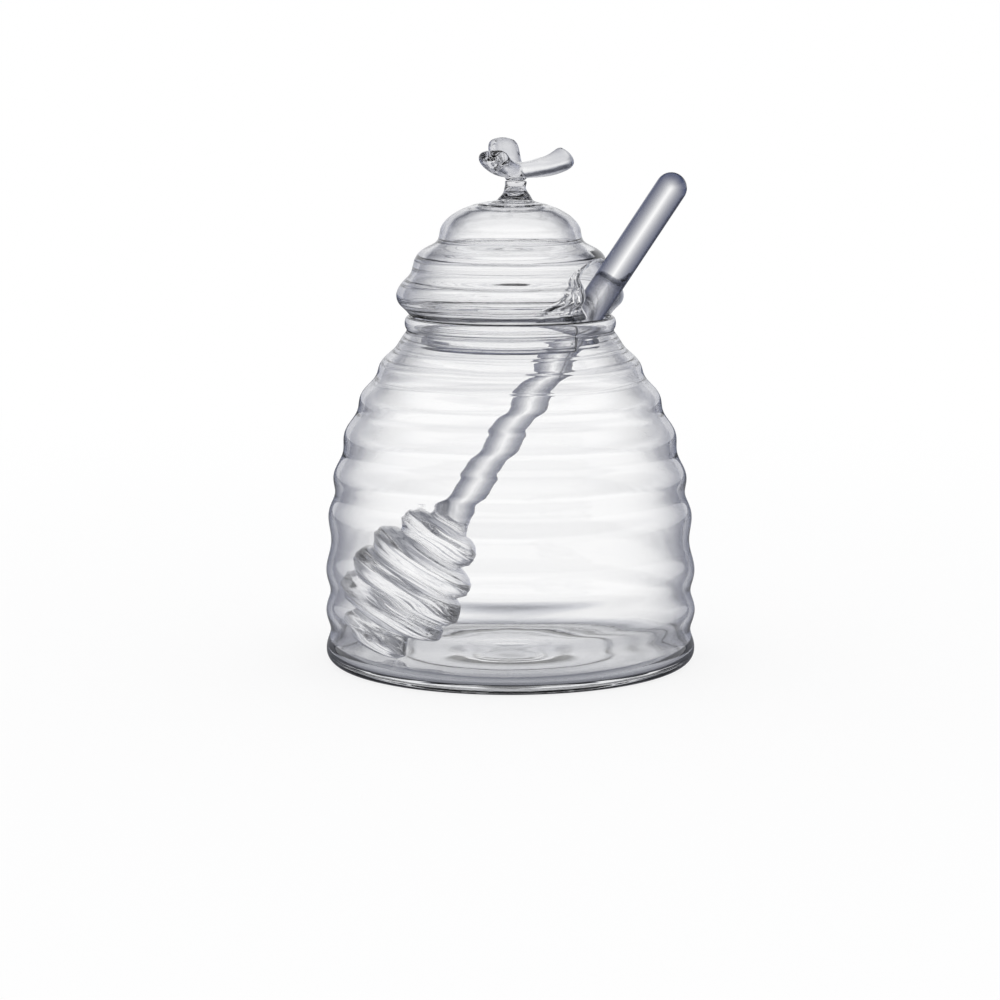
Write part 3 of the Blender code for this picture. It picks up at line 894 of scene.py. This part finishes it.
def lid_surface(lid, jar):
    """Points of the lid, and its faces grid by grid.

    The outer and the inner sheet are grids. Near the notch each is moved toward the wall's middle
    by lip/2 exp(-(d/reach)^2), with d the distance to the lip. A half-round strip along each side of
    the notch joins them, another closes the collar's foot, and quarter balls close its corners.
    """
    outlines, half, count = lid_outlines(lid, jar)
    seat = jar.height + lid.seat_gap
    apex = int(np.argmax(half > 0)) - 1
    heights = outlines[0][-count:, 1]
    rise = (heights - seat) / (heights[apex] - seat)
    outer = lid_sheet(outlines[0], half, rise, lid, seat, lid.fold)
    inner = lid_sheet(outlines[1], half, rise, lid, seat, 0.0)
    pair = np.stack([outer[-count:], inner[-count:]])
    middle = pair.mean(axis=0)
    edge = np.vstack([middle[apex:, 0], middle[apex:, -1]])
    near = middle.reshape(-1, 3)
    square = (near**2).sum(axis=1)[:, None] + (edge**2).sum(axis=1)[None] - 2 * near @ edge.T
    distance = np.sqrt(np.maximum(square.min(axis=1), 0.0)).reshape(count, LID_COLUMNS, 1)
    across = pair[0] - pair[1]
    across /= np.linalg.norm(across, axis=-1, keepdims=True)
    thin = across * lid.lip / 2 * np.exp(-((distance / lid.lip_reach) ** 2))
    outer[-count:] -= thin
    inner[-count:] += thin
    pair = np.stack([outer[-count:], inner[-count:]])
    facing = np.array([math.cos(lid.notch_turn), math.sin(lid.notch_turn), 0.0])
    heart = facing * lid.radius + (0.0, 0.0, jar.height)
    down = np.array([0.0, 0.0, -1.0])
    grids = [outer, inner]
    for side in (0, -1):
        strip, out = lip_strip(pair[:, apex:, side], heart, down)
        grids += [strip, lip_corner(strip[-1], out[-1], out_of(strip[-1], down))]
    grids.append(lip_strip(pair[:, -1], np.array([0.0, 0.0, 0.0]))[0])
    start = np.cumsum([0] + [grid.shape[0] * grid.shape[1] for grid in grids])
    faces = [grid_faces(*grid.shape[:2], closed=False) + base for grid, base in zip(grids, start)]
    return np.vstack([grid.reshape(-1, 3) for grid in grids]), faces


STREAK_GRAIN = 420.0
STREAK_BAND = (0.40, 0.62)
LIP_ROUGHNESS = 0.12


def painted_lip_material(look):
    """The edge of the notch, which light leaves along the wall: a pale band of painted light, for the light
    that the wall carries out at its polished edge, with grey streaks of painted shade.

    The colour goes from streak to edge by a cloudy noise that is pulled out along the lip.
    """
    material = bpy.data.materials.new("lid_lip_painted_light")
    wire, output = empty_tree(material)
    place = wire.node("ShaderNodeTexCoord", output="Object")
    streak = place.noise(STREAK_GRAIN, 3.0, (1.0, 1.0, 0.35)).ease(*STREAK_BAND)
    inputs = {
        "Base Color": streak.blend(opaque(look.lip_painted_streak), opaque(look.lip_painted_light)),
        "Roughness": LIP_ROUGHNESS + 0.1 * streak,
        "IOR": look.bend,
    }
    wire.node("ShaderNodeBsdfPrincipled", None, inputs).into(output["Surface"])
    return material


LID_GLASS = {
    "lines": (520.0, 0.04, 0.085, 0.100),
    "grain": 110.0,
    "stretch": (0.6, 0.6, 2.2),
    # Rings of painted shade round the lid, raised a little, by height
    "rings": (
        (0.1410, 0.00150, 0.30),
        (0.1392, 0.00030, 0.5),
        (0.1250, 0.00016, 0.6),
        (0.1196, 0.00020, 0.7),
        (0.1168, 0.00014, 0.3),
        (0.1125, 0.00020, 0.5),
        (0.1082, 0.00014, 0.3),
        (0.1068, 0.00014, 0.35),
        (0.1054, 0.00018, 0.5),
        (0.0992, 0.00018, 0.5),
        (0.0972, 0.00014, 0.35),
        (0.0955, 0.00014, 0.3),
        (0.0937, 0.00050, 2.2),
    ),
}
CALM_REACH = (0.010, 0.022)


def notch_middle(lid, jar):
    """The point in the middle of the notch, on the lid's widest ring."""
    turn = lid.notch_turn
    return (lid.radius * math.cos(turn), lid.radius * math.sin(turn), jar.height + lid.notch_top / 2)


class HONEYPOT_OT_lid(Operator):
    """Builds the lid and its stem as one shell of glass, open at the notch for the dipper"""

    bl_idname = "honeypot.lid"
    bl_label = "Lid"

    def execute(self, context):
        scene = context.scene
        look, lid, jar = scene.honeypot_glass, scene.honeypot_lid, scene.honeypot_jar
        points, faces = lid_surface(lid, jar)
        piece = new_piece("lid_glass", points, faces)
        # The lip's faces get the band of painted light
        lips = [np.full(len(part), i in LIP_GRIDS, dtype=np.int32) for i, part in enumerate(faces)]
        calm = (notch_middle(lid, jar), *CALM_REACH)
        piece.data.materials.append(glass("lid_glass", look, calm=calm, **LID_GLASS))
        piece.data.materials.append(painted_lip_material(look))
        piece.data.polygons.foreach_set("material_index", np.concatenate(lips))
        weld(piece)
        hang(piece, "lid_glass", "lid", "lid_shell", "finial_stem")
        return {"FINISHED"}


# Finial


class FinialSizes(PropertyGroup):
    hub_radius: size("Hub radius", "Radius of the lump that the petals grow from", 0.0038)
    hub_height: size("Hub height", "Height of that lump", 0.0056)
    petal_width: size("Petal width", "Width of a petal where it is widest", 0.0094)
    petal_thickness: size("Petal thickness", "Thickness of a petal where it is thickest", 0.0058)
    dish: size("Dish", "How far a petal's long edges turn up", 0.0008)
    hollow: size("Hollow", "Depth of the pressed hollow on top of a petal", 0.0010)
    flute: size("Flute", "Depth of the grooves along a petal's underside", 0.00010)
    gap: size("Gap", "Air between the petals' root and the top of the stem", 0.00004)
    grain: size("Grain", "Edge of the cells that melt the petals together", 0.00020)


# Each petal: direction seen from above in degrees, reach, rise of its tip, and twist in degrees
PETALS = ((1.0, 0.0160, 0.0050, 34.0), (124.0, 0.0080, 0.0094, 0.0), (224.0, 0.0108, 0.0058, 10.0))
PETAL_SPINE_SHARES = ((0.0, 0.0), (0.34, 0.12), (0.62, 0.32), (0.84, 0.62), (0.95, 0.88), (1.0, 1.02))
PETAL_GIRTH_SHARES = (0.74, 0.86, 1.0, 1.08, 1.04, 0.86)
TIP_START = 0.60
TIP_POWER = 2.2
HOLLOW_START = 0.28
HOLLOW_LENGTH = 0.68
FLUTES = 5
PETAL_STEPS = 16
PETAL_COLUMNS = 48
NECK_SHARE = 1.02
HUB_COLUMNS = 64
FINIAL_ROUNDS = 50
FINIAL_GLASS = {
    "lines": (300.0, 0.4, 0.130, 0.140),
    "grain": 140.0,
    "stretch": (1.0, 1.0, 1.0),
    "power": 1.2,
    "relief": 3.0,
    "crisp": 0.05,
}


def petal_points(finial, reach, rise, twist):
    """Grid of one petal that points along X, from its root inside the hub to its tip.

    At share u of the spine the section is a flattened ellipse, w cos v wide and h sin v thick, with w
    and h from the girth g(u). Its upper half is pressed in by hollow sin^1.5 v times a hump of u, its
    underside carries flutes, its edges turn up by dish (y/w)^2, and it turns by twist u^0.7.
    """
    spine = smooth_curve([(reach * x, rise * z) for x, z in PETAL_SPINE_SHARES], PETAL_STEPS)
    girth = smooth_curve([(part, 0.0) for part in PETAL_GIRTH_SHARES], PETAL_STEPS)[:, 0]
    tip = np.linspace(0.0, 1.0, len(spine))
    past = np.clip((tip - TIP_START) / (1 - TIP_START), 0.0, 1.0)
    girth = girth * np.sqrt(np.clip(1 - past**TIP_POWER, 0.0, 1.0))
    along = np.gradient(spine, axis=0)
    along /= np.linalg.norm(along, axis=1, keepdims=True)
    v = round_angles(PETAL_COLUMNS)
    wide = girth[:, None] * finial.petal_width / 2
    thick = girth[:, None] * finial.petal_thickness / 2
    hump = np.sin(np.pi * np.clip((tip - HOLLOW_START) / HOLLOW_LENGTH, 0.0, 1.0))[:, None] ** 0.7
    over = np.clip(np.sin(v), 0.0, 1.0)
    under = np.clip(-np.sin(v), 0.0, 1.0)
    side = wide * np.cos(v)
    lift = thick * np.sin(v) - finial.hollow * hump * over**1.5
    lift = lift + finial.flute * under * np.sin(TURN * FLUTES * np.cos(v)) * girth[:, None]
    lift = lift + finial.dish * (side / (finial.petal_width / 2)) ** 2
    turn = np.radians(twist) * (tip**0.7)[:, None]
    y = side * np.cos(turn) - lift * np.sin(turn)
    n = side * np.sin(turn) + lift * np.cos(turn)
    x = spine[:, :1] - along[:, 1:] * n
    z = spine[:, 1:] + along[:, :1] * n
    return np.stack([x, np.broadcast_to(y, x.shape), z], axis=-1)


def melted(piece, grain, rounds):
    """Joins what overlaps in a piece through cells of one grain, and smooths the joins."""
    cells = piece.modifiers.new("cells", "REMESH")
    cells.mode = "VOXEL"
    cells.voxel_size = grain
    cells.use_smooth_shade = True
    smooth = piece.modifiers.new("smooth", "SMOOTH")
    smooth.factor = 0.5
    smooth.iterations = rounds
    bpy.context.view_layer.update()
    solid = piece.evaluated_get(bpy.context.evaluated_depsgraph_get())
    mesh = bpy.data.meshes.new_from_object(solid)
    piece.modifiers.clear()
    piece.data = mesh
    mesh.name = piece.name
    mesh.shade_smooth()


class HONEYPOT_OT_finial(Operator):
    """Builds the three pressed petals and melts them together over the stem"""

    bl_idname = "honeypot.finial"
    bl_label = "Finial"

    def execute(self, context):
        scene = context.scene
        finial, lid = scene.honeypot_finial, scene.honeypot_lid
        base = scene.honeypot_jar.height + lid.seat_gap + lid.height + lid.stem_height
        centre = np.array([lid.stem_offset, 0.0, base + finial.hub_height / 2])
        parts = []
        for direction, reach, rise, twist in PETALS:
            c, s = math.cos(math.radians(direction)), math.sin(math.radians(direction))
            turn = np.array([[c, s, 0.0], [-s, c, 0.0], [0.0, 0.0, 1.0]])
            parts.append(petal_points(finial, reach, rise, twist) @ turn + centre)
        low = base + finial.gap
        hub = arc((0.0, centre[2]), finial.hub_radius, finial.hub_height / 2, 88, -30, 24)
        side = lid.stem_radius * NECK_SHARE
        hub = np.vstack([hub, [(side, low + finial.hub_height / 6), (side, low)]])
        parts.append(turned_grid(hub, HUB_COLUMNS) + (lid.stem_offset, 0.0, 0.0))
        points, faces, start = [], [], 0
        for part in parts:
            some, quads = capped(part, np.stack([part[0].mean(axis=0), part[-1].mean(axis=0)]), False)
            points.append(some)
            faces += [quad + start for quad in quads]
            start += len(some)
        piece = new_piece("finial_glass", np.vstack(points), faces)
        melted(piece, finial.grain, FINIAL_ROUNDS)
        look = glass("finial_glass", scene.honeypot_glass, **FINIAL_GLASS)
        dress(piece, look, "finial_glass", "lid", "petal_right", "petal_back", "petal_front")
        return {"FINISHED"}


# Dipper


class DipperSizes(PropertyGroup):
    place: FloatVectorProperty(
        name="Place", description="Middle of the widest ring", default=(-0.0302, -0.0128, 0.0244),
        subtype="TRANSLATION", unit="LENGTH",
    )
    way: FloatVectorProperty(
        name="Way", description="Direction in which the rod leaves the head",
        default=(0.5514, 0.0426, 0.8332), subtype="DIRECTION",
    )
    rod_radius: size("Rod radius", "Radius of the solid rod", 0.0046)
    tip: size("Tip", "Distance from the widest ring to the rod's tip", 0.1442)
    head_radius: size("Head radius", "Radius of the widest ring", 0.0178)
    pitch: size("Pitch", "Distance from ring to ring", 0.0088)
    groove: size("Groove", "Depth of the grooves below the smaller ring beside them", 0.0022)
    shoulder_radius: size("Shoulder radius", "Radius of the shoulder above the rings", 0.0062)
    shoulder_height: size("Shoulder height", "Height of that shoulder", 0.0034)
    end_height: size("End height", "How far the rounded end reaches past the last ring", 0.0030)
    streak: size("Streak", "Depth of the fine lines drawn round the rings", 0.00014)


DIPPER_COLUMNS = 150
DIPPER_GLASS = {
    "lines": (1900.0, 0.9, 0.0, 0.001),
    "grain": 90.0,
    "stretch": (0.25, 0.25, 7.0),
    "depth": 0.5,
    "crisp": 0.4,
}
RING_SHARES = (0.69, 0.92, 1.0, 0.955, 0.58)
RING_FULLNESS = 0.62
RING_ROWS = 14
ROD_ROWS = 60


def dipper_outline(dipper):
    """Outline of the dipper about its own axis, from the tip of the rod down to the end of the head.

    Over half of a ring's pitch its radius falls from the crest to the groove as sin(s pi/2)^fullness.
    """
    tip = arc((0.0, dipper.tip - dipper.rod_radius), dipper.rod_radius, dipper.rod_radius, 90, 0, RING_ROWS)
    widest = RING_SHARES.index(max(RING_SHARES))
    centres = [(widest - i) * dipper.pitch for i in range(len(RING_SHARES))]
    radii = [dipper.head_radius * part for part in RING_SHARES]
    grooves = [min(a, b) - dipper.groove for a, b in zip(radii, radii[1:])]
    top = centres[0] + dipper.pitch / 2 + dipper.shoulder_height
    rod = np.linspace(dipper.tip - dipper.rod_radius, top + dipper.shoulder_height / 2, ROD_ROWS)
    rod = np.stack([np.full(ROD_ROWS, dipper.rod_radius), rod], axis=1)
    shoulder = smooth_curve(
        [
            rod[-1],
            (dipper.rod_radius * 1.1, top - dipper.shoulder_height * 0.05),
            ((dipper.rod_radius + dipper.shoulder_radius) / 2, top - dipper.shoulder_height * 0.4),
            (dipper.shoulder_radius, top - dipper.shoulder_height),
        ],
        6,
    )
    parts = [tip, rod[1:-1], shoulder[:-1]]
    s = np.arange(RING_ROWS) / RING_ROWS
    swell = np.sin(s * np.pi / 2) ** RING_FULLNESS
    above = [dipper.shoulder_radius, *grooves]
    for i, (radius, centre) in enumerate(zip(radii, centres)):
        rising = above[i] + (radius - above[i]) * swell
        parts.append(np.stack([rising, centre + (1 - s) * dipper.pitch / 2], axis=1))
        if i < len(grooves):
            falling = grooves[i] + (radius - grooves[i]) * swell[:0:-1]
            down = np.stack([falling, centre - (1 - s[:0:-1]) * dipper.pitch / 2], axis=1)
            parts += [np.array([[radius, centre]]), down]
    last = radii[-1]
    end = arc((last / 2, centres[-1]), last / 2, dipper.end_height, 0, -90, RING_ROWS)
    parts += [end, np.array([[0.0, centres[-1] - dipper.end_height]])]
    return np.vstack(parts)


def drawn_lines(outline, dipper, columns):
    """Fine lines round the head: waves along the outline that drift as they go round.

    The radius gets streak times the sum of three waves of the distance along the outline, each with
    its own length and its own slow drift round the axis, and nothing on the rod.
    """
    gone = travelled(outline)[:, None]
    turn = round_angles(columns)
    wave = np.sin(TURN * gone / 0.0011 + 1.3 * np.sin(turn) + 0.8 * np.sin(2 * turn + 1.0))
    wave = wave + 0.8 * np.sin(TURN * gone / 0.0017 + 2.0 + 1.6 * np.sin(turn + 2.1))
    wave = wave + 0.9 * np.sin(TURN * gone / 0.0031 + 4.0 - 1.1 * np.cos(turn + 0.6))
    low = outline[:, 1:] < 3 * dipper.pitch
    inside = np.clip(outline[:, :1] / dipper.shoulder_radius - 0.7, 0.0, 1.0)
    sway = 1.5 * np.sin(turn + 0.7 * gone / dipper.pitch)
    return dipper.streak * low * inside * (wave + sway)


class HONEYPOT_OT_dipper(Operator):
    """Builds the dipper in one turn: the solid rod with its round tip, the shoulder and the rings"""

    bl_idname = "honeypot.dipper"
    bl_label = "Dipper"

    def execute(self, context):
        scene = context.scene
        dipper = scene.honeypot_dipper
        outline = dipper_outline(dipper)
        outline = spaced(outline, len(outline))
        reach = drawn_lines(outline, dipper, DIPPER_COLUMNS)
        piece = turned_piece("dipper_glass", outline, DIPPER_COLUMNS, reach)
        stand(piece, dipper.place, dipper.way)
        axis = (tuple(dipper.place), tuple(dipper.way))
        look = glass("dipper_glass", scene.honeypot_glass, axis=axis, **DIPPER_GLASS)
        dress(piece, look, "dipper_glass", "dipper", "dipper_rod", "dipper_head")
        return {"FINISHED"}


# Stage


class StageLook(PropertyGroup):
    floor_size: size("Floor size", "Side of the white table", 6.0)
    floor_colour: colour("Floor colour", "Colour of the table", (0.93, 0.93, 0.94))
    floor_shown: share("Floor shown", "Share of the table's look that comes from its plain white", 0.82)
    # Painted shadow: how bright glass sees the table near the pot
    near_shade: share("Near shade", "How bright glass sees the table under the pot's sides", 0.32)
    shade_reach: size("Shade reach", "How far from the pot's middle that shade goes", 0.078)
    # Painted pool of light under the pot, which only glass sees
    pool_reach: size("Pool reach", "Radius of the light that the pot gathers under its middle", 0.024)
    light: share("Light", "Strength of the light on the table", 1.0)
    ring_shade: share("Ring shade", "How bright glass sees the ring half way up the studio", 0.18)
    dim_tint: colour("Dim tint", "Colour of the studio's dim parts", (0.80, 0.84, 1.0))
    mirror_shade: share("Mirror shade", "How bright the studio is where glass mirrors it", 0.85)
    mirror_floor: share("Mirror floor", "How bright the table is where glass mirrors it", 0.16)
    camera_distance: size("Camera distance", "From the pot's axis, along the floor", 0.8642)
    camera_height: size("Camera height", "Above the floor", 0.1837)
    camera_pitch: angle("Camera pitch", "How far it looks down", 8.94)
    camera_yaw: angle("Camera yaw", "How far it looks to the left of the pot's axis", 0.201)
    camera_focus: FloatProperty(
        name="Camera focus", description="Focal length on a 36 mm frame", default=105.66, unit="CAMERA"
    )


# The studio's dim band: the heights, on a ball round the pot, where it sets in and ends
BAND_START = (0.28, 0.46)
BAND_END = (0.58, 0.78)
# How dark the painted pool of light under the pot is at its middle, and where it ends, in shares of its
# reach
POOL_MIDDLE = 0.68
POOL_END = 2.5
# Between which shares of its reach the painted shade round the pot ends, and plain white takes over
SHADE_END = (0.62, 0.9)
PLAIN_START = (2, 8)
CLOTH_GRAIN = 900.0
CLOTH_BAND = (0.4, 0.9)
CLOTH_SPECK = 0.98
WHITE = (1.0, 1.0, 1.0, 1.0)


def rays(wire):
    """Whether the camera looks, whether glass does, and whether it does in a mirror image only."""
    kinds = ("Camera", "Glossy", "Transmission")
    camera, glossy, through = (wire.node("ShaderNodeLightPath", output=f"Is {kind} Ray") for kind in kinds)
    return camera, glossy.maths("MAXIMUM", glossy, through), glossy * (1 - through)


def seen_light(stage, by_glass, mirrored, fall, mirror_share):
    """Colour and strength of white light that glass sees by a fall, and mirrors by a share of it."""
    strength = 1 + by_glass * (fall * (1 - mirrored * (1 - mirror_share)) - 1)
    return strength.blend(opaque(stage.dim_tint), WHITE), strength


def studio_world(stage):
    """Even white light, which glass sees as a studio that darkens overhead.

    Glossy and transmitted rays get a brightness that is one near the horizon, falls smoothly to the
    ring shade half way up, and rises to one again overhead. Glossy rays get the mirror shade of it.
    """
    world = bpy.data.worlds.new("studio")
    wire, output = empty_tree(world)
    way = wire.node("ShaderNodeTexCoord", output="Generated").part("Z")
    _, by_glass, mirrored = rays(wire)
    fall = 1 - (1 - stage.ring_shade) * way.ease(*BAND_START) * (1 - way.ease(*BAND_END))
    colour, strength = seen_light(stage, by_glass, mirrored, fall, stage.mirror_shade)
    inputs = {"Color": colour, "Strength": strength * stage.light}
    wire.node("ShaderNodeBackground", None, inputs).into(output["Surface"])
    bpy.context.scene.world = world


def table_material(stage):
    """A white table: mostly plain white where it is seen, with a painted shadow near the pot that glass
    sees.

    Glass sees it by 1 - (1 - near shade) s, where the share s falls to nothing at the shade's reach and
    is less in the painted pool of light under the pot.
    """
    material = bpy.data.materials.new("white_table")
    wire, output = empty_tree(material)
    camera, by_glass, mirrored = rays(wire)
    place = wire.node("ShaderNodeTexCoord", output="Object")
    far = place.vector("LENGTH", output="Value")
    reach = stage.shade_reach
    # Painted shadow round the pot and painted pool of light under its middle, seen only by glass
    ring = POOL_MIDDLE + (1 - POOL_MIDDLE) * far.ease(0.0, POOL_END * stage.pool_reach)
    ring = ring * (1 - far.ease(*[part * reach for part in SHADE_END]))
    shade = 1 - ring * (1 - stage.near_shade)
    colour, strength = seen_light(stage, by_glass, mirrored, shade, stage.mirror_floor)
    glow = wire.node("ShaderNodeEmission", None, {"Color": colour, "Strength": strength})
    speck = place.noise(CLOTH_GRAIN, 3.0).ease(*CLOTH_BAND)
    tint = speck.blend(opaque(stage.floor_colour), opaque(CLOTH_SPECK * c for c in stage.floor_colour))
    cloth = wire.node("ShaderNodeBsdfDiffuse", None, {"Color": tint})
    shown = camera + by_glass
    shown = shown.maths("MINIMUM", shown, 1.0)
    plain = far.ease(*[part * reach for part in PLAIN_START]) * (1 - stage.floor_shown)
    inputs = {0: shown * (stage.floor_shown + plain), 1: cloth, 2: glow}
    wire.node("ShaderNodeMixShader", None, inputs).into(output["Surface"])
    return material


class HONEYPOT_OT_stage(Operator):
    """Sets the white table, the even studio light and the camera of the photograph"""

    bl_idname = "honeypot.stage"
    bl_label = "Stage"

    def execute(self, context):
        scene = context.scene
        stage = scene.honeypot_stage
        side = stage.floor_size / 2
        corners = np.array([[-side, -side, 0.0], [side, -side, 0.0], [side, side, 0.0], [-side, side, 0.0]])
        table = new_piece("table", corners, [np.array([[0, 1, 2, 3]])])
        table.data.materials.append(table_material(stage))
        studio_world(stage)
        view = bpy.data.cameras.new("photo_view")
        view.lens = stage.camera_focus
        view.sensor_width = SENSOR
        view.clip_end = 4 * stage.floor_size
        camera = bpy.data.objects.new("photo_view", view)
        camera.location = (0.0, -stage.camera_distance, stage.camera_height)
        camera.rotation_euler = Euler((math.pi / 2 - stage.camera_pitch, 0.0, stage.camera_yaw))
        scene.collection.objects.link(camera)
        scene.camera = camera
        scene.view_settings.view_transform = "Standard"
        return {"FINISHED"}


# Add-on


class HONEYPOT_PT_panel(Panel):
    """Lists the sizes and colours of the honey pot and the steps that build it"""

    bl_idname = "HONEYPOT_PT_panel"
    bl_label = "Honey Pot"
    bl_space_type = "VIEW_3D"
    bl_region_type = "UI"
    bl_category = "Honey Pot"

    def draw(self, context):
        layout = self.layout
        for name, kind, step in STEPS:
            box = layout.box()
            if step:
                box.operator(step.bl_idname)
            group = getattr(context.scene, name)
            for key in kind.__annotations__:
                box.prop(group, key)


STEPS = (
    ("honeypot_glass", GlassLook, None),
    ("honeypot_jar", JarSizes, HONEYPOT_OT_jar),
    ("honeypot_lid", LidSizes, HONEYPOT_OT_lid),
    ("honeypot_finial", FinialSizes, HONEYPOT_OT_finial),
    ("honeypot_dipper", DipperSizes, HONEYPOT_OT_dipper),
    ("honeypot_stage", StageLook, HONEYPOT_OT_stage),
)


def register():
    """Makes the groups, the steps and the panel known."""
    for name, kind, step in STEPS:
        bpy.utils.register_class(kind)
        setattr(bpy.types.Scene, name, PointerProperty(type=kind))
        if step:
            bpy.utils.register_class(step)
    bpy.utils.register_class(HONEYPOT_PT_panel)


def unregister():
    """Takes them away again."""
    bpy.utils.unregister_class(HONEYPOT_PT_panel)
    for name, kind, step in reversed(STEPS):
        if step:
            bpy.utils.unregister_class(step)
        delattr(bpy.types.Scene, name)
        bpy.utils.unregister_class(kind)


def main():
    """Builds the pot and its stage."""
    register()
    bpy.ops.honeypot.jar()
    bpy.ops.honeypot.lid()
    bpy.ops.honeypot.finial()
    bpy.ops.honeypot.dipper()
    bpy.ops.honeypot.stage()


if __name__ == "__main__":
    main()
